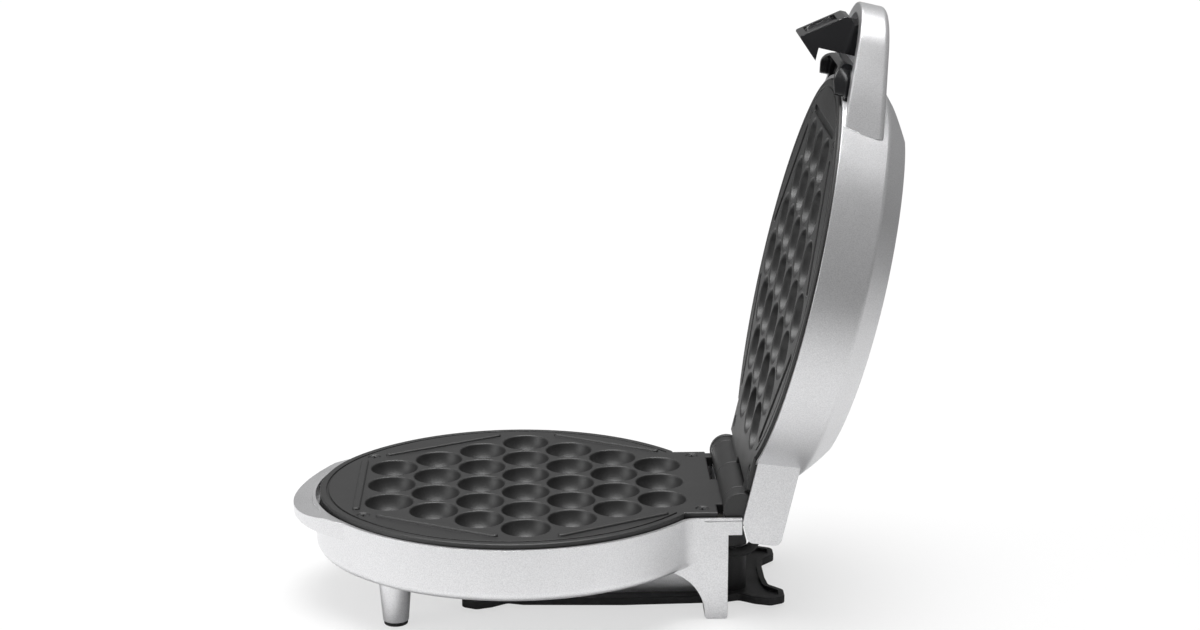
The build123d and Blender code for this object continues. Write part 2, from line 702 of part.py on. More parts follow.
with BuildPart() as base_shell:
    with BuildSketch(BASE.offset(BASE_RIM_DROP)):
        add(base_outline())
    extrude(amount=BASE_DEPTH - BASE_RIM_DROP)
    fillet(base_shell.edges().group_by(Axis(BASE.origin, BASE.z_dir))[-1], BASE_ROUND)
    # Hinge shelf behind the block; its rear face is the open lid's stop
    with BuildSketch(BASE.offset(BASE_RIM_DROP)):
        add(strip(LAND_START_X, SHELF_END_X, BLOCK_HALF_WIDTH))
    extrude(amount=SHELF_BOTTOM - BASE_RIM_DROP)
    # Rear legs, each with a concave gusset in front
    for leg_y in (-LEG_Y, LEG_Y):
        with BuildSketch(side_of(BASE, leg_y)) as leg:
            with BuildLine():
                Polyline(
                    (LEG_TOE_X - GUSSET_R, BASE_DEPTH),
                    (LEG_TOE_X - GUSSET_R, BASE_DEPTH - BASE_ROUND),
                    (BLOCK_REAR_X, BASE_DEPTH - BASE_ROUND),
                    (BLOCK_REAR_X, LEG_BOTTOM),
                    (LEG_TOE_X, LEG_BOTTOM),
                    (LEG_TOE_X, BASE_DEPTH + GUSSET_R),
                )
                CenterArc((LEG_TOE_X - GUSSET_R, BASE_DEPTH + GUSSET_R), GUSSET_R, -90, 90)
            make_face()
            fillet(leg.vertices().group_by(Axis.Y)[-1], LEG_TOE_ROUND)
        extrude(amount=LEG_WIDTH / 2, both=True)
    # Raised pocket between the legs where the wires' conduit comes in
    with BuildSketch(BASE.offset(CONDUIT_BOSS_TOP)):
        with Locations(((CONDUIT_BOSS_START_X + BLOCK_REAR_X) / 2, CONDUIT_BASE_Y)):
            Rectangle(BLOCK_REAR_X - CONDUIT_BOSS_START_X, 2 * CONDUIT_BOSS_HALF)
    extrude(amount=CONDUIT_BOSS_BOTTOM - CONDUIT_BOSS_TOP)
    # Front lip: a crescent that slopes down to its edge and is hollow underneath
    add(lip_solid(0, 0))
    add(lip_solid(LIP_SKIN, LIP_SKIN), mode=Mode.SUBTRACT)
    with BuildSketch(BASE.offset(BASE_RIM_DROP)):
        add(front_circle(SHELL_WALL))
    extrude(amount=LIP_BOTTOM - BASE_RIM_DROP)
    with BuildSketch(BASE.offset(BASE_RIM_DROP)):
        add(front_circle(0))
    extrude(amount=LIP_BOTTOM - BASE_RIM_DROP - LIP_SKIN, mode=Mode.SUBTRACT)
    # Inside of the housing
    add(base_hollow.part, mode=Mode.SUBTRACT)
    add(hinge_trough(BASE, BASE_HINGE, -1, BASE_KNUCKLES), mode=Mode.SUBTRACT)
    # Bottom opening and the ledge its cover sits in
    with BuildSketch(BASE.offset(BASE_FLOOR_TOP)):
        add(oval(-COVER_INSET))
    extrude(amount=BASE_FLOOR, mode=Mode.SUBTRACT)
    with BuildSketch(BASE.offset(BASE_DEPTH - COVER_THICK)):
        add(oval(-COVER_INSET + COVER_LEDGE))
    extrude(amount=COVER_THICK, mode=Mode.SUBTRACT)
    # Screw holes from below
    with BuildSketch(BASE.offset(FLOOR_BOSS_TOP)):
        with Locations(FEET):
            Circle(FOOT_SCREW_R + SCREW_CLEARANCE)
        with Locations(COVER_SCREWS):
            Circle(SMALL_SCREW_R + SCREW_CLEARANCE)
        with Locations(WINDER_SCREWS[1]):
            Circle(WINDER_SCREW_R + SCREW_CLEARANCE)
    extrude(amount=FOOT_BOSS_HEIGHT + BASE_FLOOR, mode=Mode.SUBTRACT)
    # Pockets for the rear pads
    with BuildSketch(BASE.offset(LEG_BOTTOM)):
        with Locations(REAR_PADS):
            Circle(REAR_PAD_R)
    extrude(amount=REAR_PAD_PROUD - REAR_PAD_THICK, mode=Mode.SUBTRACT)
    # Holes in the rear wall for the conduit and the mains lead
    rear_wall = facing_rear(BASE, BLOCK_REAR_X)
    with BuildSketch(rear_wall):
        with Locations((CONDUIT_BASE_Y, CONDUIT_DEPTH)):
            Circle(GLAND_R)
    extrude(amount=CONDUIT_BOSS_START_X - BLOCK_REAR_X + SHELL_WALL, mode=Mode.SUBTRACT)
    with BuildSketch(rear_wall):
        with Locations((INLET_BASE_Y, INLET_DEPTH)):
            Circle(INLET_BODY_R)
    extrude(amount=-3 * SHELL_WALL, mode=Mode.SUBTRACT)
    # Fine line below the rim of the rear block
    with BuildSketch(BASE.offset(REVEAL_DROP + BASE_RIM_DROP)):
        add(strip(LAND_START_X, FAR, FAR))
        reveal_half_width = BLOCK_HALF_WIDTH - REVEAL_SIZE
        add(strip(LAND_START_X, SHELF_END_X - REVEAL_SIZE, reveal_half_width), mode=Mode.SUBTRACT)
        add(oval(BLOCK_BLEND), mode=Mode.SUBTRACT)
    extrude(amount=REVEAL_SIZE, mode=Mode.SUBTRACT)

with BuildPart() as bottom_cover:
    with BuildSketch(BASE.offset(BASE_DEPTH - COVER_THICK)):
        add(oval(-COVER_INSET + COVER_LEDGE - COVER_CLEARANCE))
    extrude(amount=COVER_THICK)
    with BuildSketch(BASE.offset(FLOOR_BOSS_TOP)):
        with Locations(WINDER_SCREWS[0]):
            Circle(BOSS_R)
    extrude(amount=FOOT_BOSS_HEIGHT + BASE_FLOOR)
    with BuildSketch(BASE.offset(BASE_DEPTH)):
        with Locations((VENT_X, 0)):
            with GridLocations(VENT_PITCH, VENT_LENGTH + VENT_PITCH, 5, 2):
                SlotOverall(VENT_LENGTH, VENT_WIDTH, rotation=90)
        with Locations(COVER_SCREWS):
            Circle(SMALL_SCREW_R + SCREW_CLEARANCE)
        with Locations(WINDER_SCREWS[0]):
            Circle(WINDER_SCREW_R + SCREW_CLEARANCE)
    extrude(amount=-FOOT_BOSS_HEIGHT - BASE_FLOOR, mode=Mode.SUBTRACT)
    with BuildSketch(BASE.offset(BASE_DEPTH)):
        with Locations(COVER_SCREWS):
            Circle(SMALL_HEAD_R + SCREW_CLEARANCE)
    extrude(amount=-SMALL_HEAD_HEIGHT / 2, mode=Mode.SUBTRACT)

with BuildPart() as bottom_cover_screws:
    cover_head = BASE_DEPTH - SMALL_HEAD_HEIGHT / 2
    add(small_screws(BASE, COVER_SCREWS, cover_head + SMALL_HEAD_HEIGHT, -FOOT_BOSS_HEIGHT - BASE_FLOOR))

# ---------------------------------------------------------------- feet, spool and winder

SPOOL_BOTTOM = WINDER_TOP + WINDER_DISH
WINDER_BLOCK_X = BLOCK_REAR_X + COVER_CLEARANCE

with BuildPart() as front_feet:
    with BuildSketch(BASE.offset(BASE_DEPTH)):
        with Locations(FEET):
            Circle(FOOT_TOP_R)
    foot_height = COOKING_HEIGHT - PAD_HEIGHT - BASE_DEPTH
    extrude(amount=foot_height, taper=math.degrees(math.atan2(FOOT_TOP_R - FOOT_TIP_R, foot_height)))
    with BuildSketch(BASE.offset(BASE_DEPTH)):
        with Locations(FEET):
            Circle(FOOT_SCREW_R + SCREW_CLEARANCE)
    extrude(amount=foot_height, mode=Mode.SUBTRACT)
    with BuildSketch(BASE.offset(COOKING_HEIGHT - PAD_HEIGHT)):
        with Locations(FEET):
            Circle(FOOT_HEAD_R + SCREW_CLEARANCE)
    extrude(amount=-2 * FOOT_HEAD_HEIGHT, mode=Mode.SUBTRACT)

foot_head = COOKING_HEIGHT - PAD_HEIGHT - 2 * FOOT_HEAD_HEIGHT

with BuildPart() as front_foot_screws:
    with BuildSketch(BASE.offset(foot_head)):
        with Locations(FEET):
            Circle(FOOT_HEAD_R)
    extrude(amount=FOOT_HEAD_HEIGHT)
    with BuildSketch(BASE.offset(foot_head)):
        with Locations(FEET):
            Circle(FOOT_SCREW_R)
    extrude(amount=BASE_FLOOR_TOP - FOOT_BOSS_HEIGHT / 2 - foot_head)

with BuildPart() as front_foot_pads:
    with BuildSketch(BASE.offset(COOKING_HEIGHT - PAD_HEIGHT)):
        with Locations(FEET):
            Circle(PAD_R)
    extrude(amount=PAD_HEIGHT)
    fillet(front_foot_pads.edges().group_by(Axis.Z)[0], RIM_ROUND)

with BuildPart() as rear_foot_pads:
    with BuildSketch(BASE.offset(COOKING_HEIGHT - REAR_PAD_THICK)):
        with Locations(REAR_PADS):
            Circle(REAR_PAD_R)
    extrude(amount=REAR_PAD_THICK)


def spool_outline(inset):
    """The cord spool's rounded rectangle."""
    with BuildSketch() as outline:
        with Locations((SPOOL_CENTRE_X, 0)):
            RectangleRounded(
                2 * (SPOOL_HALF_LENGTH - inset), 2 * (SPOOL_HALF_WIDTH - inset), SPOOL_ROUND - inset
            )
    return outline.sketch


with BuildPart() as cord_spool:
    with BuildSketch(BASE.offset(BASE_DEPTH)):
        add(spool_outline(0))
    extrude(amount=SPOOL_BOTTOM - BASE_DEPTH)
    with BuildSketch(BASE.offset(BASE_DEPTH)):
        add(spool_outline(SPOOL_WALL))
        with Locations(WINDER_SCREWS):
            Circle(TUBE_R, mode=Mode.SUBTRACT)
    extrude(amount=SPOOL_BOTTOM - BASE_DEPTH - SPOOL_WALL, mode=Mode.SUBTRACT)
    with BuildSketch(BASE.offset(BASE_DEPTH)):
        with Locations(WINDER_SCREWS):
            Circle(WINDER_SCREW_R + SCREW_CLEARANCE)
    extrude(amount=SPOOL_BOTTOM - BASE_DEPTH, mode=Mode.SUBTRACT)
    # Behind the housing the winder's own end block takes the spool's place
    with BuildSketch(BASE.offset(BASE_DEPTH)):
        add(strip(WINDER_BLOCK_X, FAR, FAR))
    extrude(amount=SPOOL_BOTTOM - BASE_DEPTH, mode=Mode.SUBTRACT)

# A quarter of the winder's outline from its centre, with the cord horns at its end
WINDER_QUARTER = [(0, 35.2), (52.0, 33.2), (60.0, 30.8), (68.0, 36.0), (76.0, 38.6)]
WINDER_QUARTER += [(83.6, 35.0), (83.6, 25.5), (76.5, 18.0), (75.5, 8.0)]


def winder_outline():
    """The winder's plan, the same at both ends and on both sides."""
    far_side = WINDER_QUARTER + [(x, -y) for x, y in reversed(WINDER_QUARTER)]
    near_side = [(-x, -y) for x, y in far_side[1:-1]]
    with BuildSketch() as outline:
        with BuildLine():
            Polyline(*[(SPOOL_CENTRE_X + x, y) for x, y in far_side + near_side], close=True)
        make_face()
        corners = outline.vertices().filter_by(lambda v: abs(v.X - SPOOL_CENTRE_X) > 1)
        fillet(corners, WINDER_ROUND)
    return outline.sketch


with BuildPart() as cord_winder:
    with BuildSketch(BASE.offset(WINDER_TOP)):
        add(winder_outline())
    extrude(amount=WINDER_BOTTOM - WINDER_TOP)
    outer_edges = cord_winder.edges().group_by(Axis.Z)
    fillet(outer_edges[0] + outer_edges[-1], RIM_ROUND)
    with BuildSketch(BASE.offset(WINDER_TOP)):
        add(winder_outline())
        offset(amount=-WINDER_RIM)
    extrude(amount=WINDER_DISH, mode=Mode.SUBTRACT)
    # End block behind the housing, as wide as the spool in front of it
    with BuildSketch(BASE.offset(SPOOL_OVERHANG_TOP)):
        add(spool_outline(0))
        add(strip(-FAR, WINDER_BLOCK_X, FAR), mode=Mode.SUBTRACT)
    extrude(amount=SPOOL_BOTTOM - SPOOL_OVERHANG_TOP)
    with BuildSketch(BASE.offset(SPOOL_OVERHANG_TOP + SPOOL_WALL)):
        add(spool_outline(SPOOL_WALL))
        add(strip(-FAR, WINDER_BLOCK_X, FAR), mode=Mode.SUBTRACT)
    extrude(amount=SPOOL_BOTTOM - SPOOL_OVERHANG_TOP - SPOOL_WALL, mode=Mode.SUBTRACT)
    with BuildSketch(BASE.offset(WINDER_BOTTOM)):
        with Locations(WINDER_SCREWS):
            Circle(WINDER_SCREW_R + SCREW_CLEARANCE)
    extrude(amount=WINDER_TOP - WINDER_BOTTOM, mode=Mode.SUBTRACT)
    with BuildSketch(BASE.offset(WINDER_BOTTOM)):
        with Locations(WINDER_SCREWS):
            Circle(WINDER_HEAD_R + SCREW_CLEARANCE)
    extrude(amount=-WINDER_HEAD_HEIGHT, mode=Mode.SUBTRACT)

with BuildPart() as winder_screws:
    with BuildSketch(BASE.offset(WINDER_BOTTOM - RIM_ROUND)):
        with Locations(WINDER_SCREWS):
            Circle(WINDER_HEAD_R)
    extrude(amount=RIM_ROUND - WINDER_HEAD_HEIGHT)
    with BuildSketch(BASE.offset(WINDER_BOTTOM - RIM_ROUND)):
        with Locations(WINDER_SCREWS):
            Circle(WINDER_SCREW_R)
    extrude(amount=BASE_FLOOR_TOP - FOOT_BOSS_HEIGHT / 2 - WINDER_BOTTOM)
    with BuildSketch(BASE.offset(WINDER_BOTTOM - RIM_ROUND)):
        with Locations(WINDER_SCREWS):
            Rectangle(2 * WINDER_SCREW_R, WINDER_SCREW_R / 2)
            Rectangle(WINDER_SCREW_R / 2, 2 * WINDER_SCREW_R)
    extrude(amount=-WINDER_SCREW_R / 2, mode=Mode.SUBTRACT)

# ---------------------------------------------------------------- inside the base

with BuildPart() as lower_plate:
    add(cooking_plate(BASE, BASE_HINGE, -1, BASE_KNUCKLES, PIN_R, True))

with BuildPart() as lower_plate_screws:
    add(plate_screws(BASE))

with BuildPart() as lower_element:
    add(element(BASE))

with BuildPart() as lower_reflector:
    add(reflector(BASE))

with BuildPart() as lower_reflector_screws:
    add(small_screws(BASE, REFLECTOR_POSTS, REFLECTOR_DEPTH - SMALL_HEAD_HEIGHT, SMALL_HEAD_HEIGHT + POST_R))

with BuildPart() as lower_thermostat:
    add(thermostat(BASE))

with BuildPart() as thermal_fuse:
    with BuildSketch(side_of(BASE)):
        with Locations((FUSE_X, REFLECTOR_DEPTH + REFLECTOR_THICK + ELEMENT_GAP + FUSE_R)):
            Circle(FUSE_R)
    extrude(amount=FUSE_LENGTH / 2, both=True)

with BuildPart() as terminal_block:
    with BuildSketch(BASE.offset(BASE_FLOOR_TOP)):
        with Locations((TERMINAL_X, 0)):
            Rectangle(TERMINAL_LENGTH, TERMINAL_WIDTH)
    extrude(amount=-TERMINAL_HEIGHT)
    with BuildSketch(BASE.offset(BASE_FLOOR_TOP - TERMINAL_HEIGHT)):
        with Locations((TERMINAL_X, 0)):
            with GridLocations(TERMINAL_LENGTH / 2, TERMINAL_WIDTH / 3, 2, 3):
                Circle(SMALL_SCREW_R)
    extrude(amount=TERMINAL_HEIGHT / 2, mode=Mode.SUBTRACT)

with BuildPart() as cord_inlet:
    inlet_place = (BLOCK_REAR_X, INLET_BASE_Y, INLET_DEPTH)
    add(gland(BASE, inlet_place, INLET_FLANGE_R, INLET_BODY_R, INLET_BORE_R, INLET_LENGTH))

with BuildPart() as conduit_gland_base:
    add(gland(BASE, CONDUIT_ENTRY, GLAND_FLANGE_R, GLAND_R, CONDUIT_HOLE_R, GLAND_LENGTH))

# ---------------------------------------------------------------- hinge

with BuildPart() as hinge_pin:
    with BuildSketch(BASE_SIDE):
        with Locations(BASE_HINGE):
            Circle(PIN_R)
    extrude(amount=BARREL_HALF, both=True)

with BuildPart() as hinge_cap_base:
    with BuildSketch(side_of(BASE, -BARREL_HALF - END_CAP_THICK / 2)):
        with Locations(BASE_HINGE):
            Circle(BARREL_R + END_CAP_PROUD)
    extrude(amount=END_CAP_THICK / 2, both=True)
    fillet(hinge_cap_base.edges().filter_by(GeomType.CIRCLE), RIM_ROUND)

with BuildPart() as hinge_cap_lid:
    with BuildSketch(side_of(BASE, BARREL_HALF + END_CAP_THICK / 2)):
        with Locations(BASE_HINGE):
            Circle(BARREL_R + END_CAP_PROUD)
    extrude(amount=END_CAP_THICK / 2, both=True)
    fillet(hinge_cap_lid.edges().filter_by(GeomType.CIRCLE), RIM_ROUND)

# ---------------------------------------------------------------- lid housing

LID_WALL_HEIGHT = LID_RIDGE_DEPTH - LID_RIM_DROP
LID_RIDGE_GROW = SHELL_GROW - LID_WALL_HEIGHT * math.tan(math.radians(LID_DRAFT))
LID_CHAMFER_HEIGHT = LID_TOP_DEPTH - LID_RIDGE_DEPTH
LID_CHAMFER_TAPER = math.degrees(math.atan2(LID_CHAMFER_INSET, LID_CHAMFER_HEIGHT))


def lid_dome(wall, roof, round_r=0.0):
    """The lid's drafted oval wall, its chamfer and its facets, thinner by a wall and a roof."""
    ridge = LID_RIDGE_DEPTH - roof / 2
    inner = LID_RIDGE_GROW - wall + roof / 2 * math.tan(math.radians(LID_DRAFT))
    facets = [
        (FACET_FRONT_X, -math.cos(math.radians(FACET_FRONT_SLOPE)), FACET_FRONT_SLOPE),
        (FACET_CROWN_X, math.cos(math.radians(FACET_CROWN_SLOPE)), FACET_CROWN_SLOPE),
        (FACET_REAR_X, math.cos(math.radians(FACET_REAR_SLOPE)), FACET_REAR_SLOPE),
    ]
    with BuildPart() as dome:
        with BuildSketch(LID.offset(LID_RIM_DROP)):
            add(oval(SHELL_GROW - wall))
        extrude(amount=ridge - LID_RIM_DROP, taper=LID_DRAFT)
        with BuildSketch(LID.offset(ridge)):
            add(oval(inner))
        extrude(amount=LID_TOP_DEPTH - roof - ridge, taper=LID_CHAMFER_TAPER)
        if round_r:
            depth_axis = Axis(LID.origin, LID.z_dir)
            fillet(dome.edges().filter_by(GeomType.CIRCLE).group_by(depth_axis)[1], round_r)
        for start_x, run, slope in facets:
            rise = math.sin(math.radians(slope))
            start_depth = LID_TOP_DEPTH - roof / abs(run)
            with BuildSketch(LID_SIDE):
                with BuildLine():
                    Polyline(
                        (start_x - LID_ROOF * run, start_depth + LID_ROOF * rise),
                        (start_x + FAR * run, start_depth - FAR * rise),
                        (start_x + FAR * run, LID_TOP_DEPTH + LID_ROOF),
                        (start_x - LID_ROOF * run, LID_TOP_DEPTH + LID_ROOF),
                        close=True,
                    )
                make_face()
            extrude(amount=FAR, both=True, mode=Mode.SUBTRACT)
    return dome.part


def lid_block():
    """The hinge block behind the lid, with its heel cut back and its outer edges rounded."""
    heel_depth = LID_BLOCK_TOP + LID_BLOCK_HEEL_RISE
    with BuildPart() as block:
        with BuildSketch(LID_SIDE):
            with BuildLine():
                Polyline(
                    (LAND_START_X, LID_BLOCK_TOP),
                    (LID_BLOCK_HEEL_X, LID_BLOCK_TOP),
                    (LID_BLOCK_REAR_X, heel_depth),
                    (LID_BLOCK_REAR_X - LID_BLOCK_LEAN, LID_BLOCK_ROOF),
                    (LAND_START_X, LID_BLOCK_ROOF),
                    close=True,
                )
            make_face()
        extrude(amount=BLOCK_HALF_WIDTH, both=True)
        across = block.edges().filter_by(Axis.Y).sort_by(Axis(LID.origin, LID.x_dir))
        fillet(across[-2:], LID_BLOCK_ROUND)
        fillet(block.edges().filter_by(Axis.Y).sort_by(Axis(LID.origin, LID.x_dir))[2:3], RIM_ROUND)
    return block.part


with BuildPart() as lid_outside:
    add(lid_dome(0, 0, LID_RIDGE_ROUND))
    add(lid_block())

with BuildPart() as lid_hollow:
    add(lid_dome(SHELL_WALL, LID_ROOF))
    with BuildSketch(LID.offset(LID_RIM_DROP)):
        add(strip(LAND_START_X, BLOCK_REAR_X - SHELL_WALL, BLOCK_HALF_WIDTH - SHELL_WALL))
    extrude(amount=LID_BLOCK_ROOF - LID_ROOF - LID_RIM_DROP)
    with BuildSketch(LID.offset(BARREL_R + BARREL_CLEARANCE + LID_ROOF)):
        add(strip(LAND_START_X, LID_BLOCK_REAR_X - LID_BLOCK_LEAN - LID_ROOF, BLOCK_HALF_WIDTH - SHELL_WALL))
    extrude(amount=LID_BLOCK_ROOF - BARREL_R - BARREL_CLEARANCE - 2 * LID_ROOF)
    add(housing_bosses(LID, LID_TOP_DEPTH, LID_TOP_DEPTH), mode=Mode.SUBTRACT)

# ---------------------------------------------------------------- handle, guard and latch

HANDLE_TURN = math.radians(HANDLE_HALF_ANGLE)
HANDLE_CENTRE_X = HANDLE_NOSE_X + HANDLE_NOSE_R


def handle_outline(inset):
    """The handle loop's plan: two straight arms that run into a round nose."""
    radius = HANDLE_NOSE_R - inset
    touch_x = HANDLE_CENTRE_X - radius * math.sin(HANDLE_TURN)
    touch_y = radius * math.cos(HANDLE_TURN)
    root_x = HANDLE_ROOT_X + HANDLE_NOSE_R
    root_y = touch_y + (root_x - touch_x) * math.tan(HANDLE_TURN)
    with BuildSketch() as outline:
        with BuildLine():
            Polyline((touch_x, touch_y), (root_x, root_y), (root_x, -root_y), (touch_x, -touch_y))
            CenterArc(
                (HANDLE_CENTRE_X, 0), radius, 90 + HANDLE_HALF_ANGLE, 180 - 2 * HANDLE_HALF_ANGLE
            )
        make_face()
        add(strip(HANDLE_ROOT_X, FAR, FAR), mode=Mode.SUBTRACT)
    return outline.sketch


def guard_outline(inset):
    """The thumb guard's plan: a tongue with a round nose."""
    with BuildSketch() as outline:
        add(strip(GUARD_END_X + inset, HANDLE_ROOT_X, GUARD_HALF_WIDTH - inset))
        nose = outline.vertices().filter_by(lambda v: v.X < GUARD_END_X + inset + 1)
        fillet(nose, GUARD_NOSE_R - inset)
    return outline.sketch


with BuildPart() as thumb_guard:
    with BuildSketch(LID.offset(GUARD_WEB_DEPTHS[1])):
        add(guard_outline(0))
    extrude(amount=-BASE_DEPTH)
    with BuildSketch(LID.offset(GUARD_WEB_DEPTHS[0])):
        add(guard_outline(GUARD_WALL))
    extrude(amount=-BASE_DEPTH, mode=Mode.SUBTRACT)
    # Web between the handle's arms, with a snap tab into each arm
    with BuildSketch(LID.offset(GUARD_WEB_DEPTHS[0])):
        add(handle_outline(HANDLE_WALL))
        add(strip(-FAR, GUARD_END_X, FAR), mode=Mode.SUBTRACT)
        with BuildSketch(mode=Mode.PRIVATE) as tabs:
            add(handle_outline(HANDLE_WALL - GUARD_TAB_REACH))
            with Locations((GUARD_TAB_X, 0)):
                Rectangle(GUARD_TAB_LENGTH, FAR, mode=Mode.INTERSECT)
        add(tabs.sketch)
    extrude(amount=GUARD_WEB_DEPTHS[1] - GUARD_WEB_DEPTHS[0])
    # Lower edge that follows the base's lip and turns up into a round nose
    with BuildSketch(LID_SIDE) as guard_side:
        lip_fall = math.tan(math.radians(LIP_SLOPE))
        guard_low = -BASE_RIM_DROP - PLATE_GAP + GUARD_LIP_CLEARANCE
        nose_low = guard_low + (GUARD_END_X - LIP_SLOPE_START_X) * lip_fall
        with BuildLine():
            Polyline(
                (0, guard_low),
                (LIP_SLOPE_START_X, guard_low),
                (GUARD_END_X, nose_low),
                (GUARD_END_X, GUARD_WEB_DEPTHS[1]),
                (0, GUARD_WEB_DEPTHS[1]),
                close=True,
            )
        make_face()
        nose = guard_side.vertices().sort_by_distance((GUARD_END_X, nose_low))[0]
        fillet(nose, GUARD_NOSE_ROUND)
    extrude(amount=FAR, both=True, mode=Mode.INTERSECT)
    # Room for the base's rim below and for the lid's wall above
    with BuildSketch(LID.offset(LID_RIM_DROP)):
        add(oval(SHELL_GROW + SHELL_CLEARANCE))
        add(front_circle(SHELL_WALL + SHELL_CLEARANCE))
    extrude(amount=-BASE_DEPTH, mode=Mode.SUBTRACT)
    add(lid_outside.part, mode=Mode.SUBTRACT)

with BuildPart() as lid_tongue_window:
    with BuildSketch(LID.offset(TONGUE_DEPTHS[0])):
        add(oval(FAR))
        add(oval(-TONGUE_REACH), mode=Mode.SUBTRACT)
    extrude(amount=TONGUE_DEPTHS[1] - TONGUE_DEPTHS[0])

with BuildPart() as handle_cutter:
    add(lid_outside.part)
    add(lid_tongue_window.part, mode=Mode.SUBTRACT)

with BuildPart() as handle_loop:
    with BuildSketch(LID.offset(HANDLE_LOW)):
        add(handle_outline(0))
    extrude(amount=HANDLE_ROOT_DEPTH)
    with BuildSketch(LID_SIDE):
        nose_drop = (HANDLE_ROOT_X - HANDLE_NOSE_X) * math.tan(math.radians(HANDLE_TOP_SLOPE))
        with BuildLine():
            Polyline(
                (HANDLE_ROOT_X, HANDLE_ROOT_DEPTH),
                (HANDLE_NOSE_X, HANDLE_ROOT_DEPTH - nose_drop),
                (HANDLE_NOSE_X, 2 * HANDLE_ROOT_DEPTH),
                (HANDLE_ROOT_X, 2 * HANDLE_ROOT_DEPTH),
                close=True,
            )
        make_face()
    extrude(amount=FAR, both=True, mode=Mode.SUBTRACT)
    top_face = handle_loop.faces().sort_by(Axis(LID.origin, LID.z_dir))[-1]
    fillet(top_face.edges().sort_by(Axis(LID.origin, LID.x_dir))[:-1], HANDLE_ROUND)
    low_face = handle_loop.faces().sort_by(Axis(LID.origin, LID.z_dir))[0]
    fillet(low_face.edges().sort_by(Axis(LID.origin, LID.x_dir))[:-1], HANDLE_LOW_ROUND)
    with BuildSketch(LID.offset(HANDLE_LOW)):
        add(handle_outline(HANDLE_WALL))
    extrude(amount=HANDLE_ROOT_DEPTH, mode=Mode.SUBTRACT)
    add(handle_cutter.part, mode=Mode.SUBTRACT)
    add(thumb_guard.part, mode=Mode.SUBTRACT)
    with BuildSketch(LID_SIDE):
        with Locations(LATCH_PIVOT):
            Circle(LATCH_PIN_R)
    extrude(amount=LATCH_PIN_HALF, both=True, mode=Mode.SUBTRACT)

with BuildPart() as lid_shell:
    add(lid_outside.part)
    add(lid_hollow.part, mode=Mode.SUBTRACT)
    add(hinge_trough(LID, LID_HINGE, 1, LID_KNUCKLES), mode=Mode.SUBTRACT)
    add(handle_loop.part, mode=Mode.SUBTRACT)
    lid_rear = facing_rear(LID, LID_BLOCK_REAR_X)
    with BuildSketch(lid_rear):
        with Locations((CONDUIT_Y, CONDUIT_LID_DEPTH)):
            Circle(GLAND_R)
    extrude(amount=-3 * LID_ROOF, mode=Mode.SUBTRACT)
    with BuildSketch(LID.offset(LID_TOP_DEPTH)):
        with Locations(LENSES):
            Circle(LENS_R)
    extrude(amount=-2 * LID_ROOF, mode=Mode.SUBTRACT)


# The latch's side view, from the bottom of its pivot boss round the barb and back
LATCH_PROFILE = [(-141.5, -4.0), (-126.9, -24.0), (-116.9, -13.3), (-123.5, -13.3)]
LATCH_PROFILE += [(-123.4, 6.0), (-130.0, 9.0), (-137.4, 11.2), (-139.2, 5.4), (-138.6, 1.4)]
LATCH_PROFILE += [(-141.5, -1.2)]

with BuildPart() as latch_lever:
    with BuildSketch(LID_SIDE):
        with BuildLine():
            Polyline(*LATCH_PROFILE, close=True)
        make_face()
        with Locations(LATCH_PIVOT):
            Circle(LATCH_BOSS_R)
    extrude(amount=LATCH_HALF_WIDTH, both=True)
    outer_corner, tip = Vector(*LATCH_PROFILE[0]), Vector(*LATCH_PROFILE[1])
    across = latch_lever.edges().filter_by(Axis.Y)
    tip_point = LID.from_local_coords((tip.X, 0, tip.Y))
    heel_point = LID.from_local_coords((outer_corner.X, 0, outer_corner.Y))
    fillet(across.sort_by_distance(tip_point)[0], RIM_ROUND * 2)
    across = latch_lever.edges().filter_by(Axis.Y)
    fillet(across.sort_by_distance(heel_point)[0], RIM_ROUND * 3)
    # Recessed panel on the sloping front
    slope = tip - outer_corner
    middle = (tip + outer_corner) / 2
    panel = Plane(
        origin=LID.from_local_coords((middle.X, 0, middle.Y)),
        x_dir=LID.y_dir,
        z_dir=LID.x_dir * slope.Y - LID.z_dir * slope.X,
    )
    with BuildSketch(panel):
        RectangleRounded(
            2 * (LATCH_HALF_WIDTH - LATCH_PANEL_BORDER),
            slope.length - 4 * LATCH_PANEL_BORDER,
            LATCH_PANEL_BORDER,
        )
    extrude(amount=-LATCH_PANEL_DEPTH, mode=Mode.SUBTRACT)
    with BuildSketch(LID_SIDE):
        with Locations(LATCH_PIVOT):
            Circle(LATCH_PIN_R + RUNNING_CLEARANCE)
    extrude(amount=LATCH_HALF_WIDTH, both=True, mode=Mode.SUBTRACT)

with BuildPart() as latch_pin:
    with BuildSketch(LID_SIDE):
        with Locations(LATCH_PIVOT):
            Circle(LATCH_PIN_R)
    extrude(amount=LATCH_PIN_HALF, both=True)

with BuildPart() as latch_spring:
    coil_start = LID.from_local_coords(
        (LATCH_PIVOT[0], LATCH_HALF_WIDTH + 2 * SPRING_WIRE_R, LATCH_PIVOT[1])
    )
    with BuildLine() as coil:
        Helix(
            pitch=SPRING_LENGTH / SPRING_TURNS,
            height=SPRING_LENGTH,
            radius=SPRING_R,
            center=coil_start,
            direction=LID.y_dir,
        )
    with BuildSketch(Plane(coil.line @ 0, z_dir=coil.line % 0)):
        Circle(SPRING_WIRE_R)
    sweep(is_frenet=True)

# ---------------------------------------------------------------- inside the lid

with BuildPart() as upper_plate:
    add(cooking_plate(LID, LID_HINGE, 1, LID_KNUCKLES, PIN_R + RUNNING_CLEARANCE, False))

with BuildPart() as upper_plate_screws:
    add(plate_screws(LID))

with BuildPart() as upper_element:
    add(element(LID))

with BuildPart() as upper_reflector:
    add(reflector(LID))

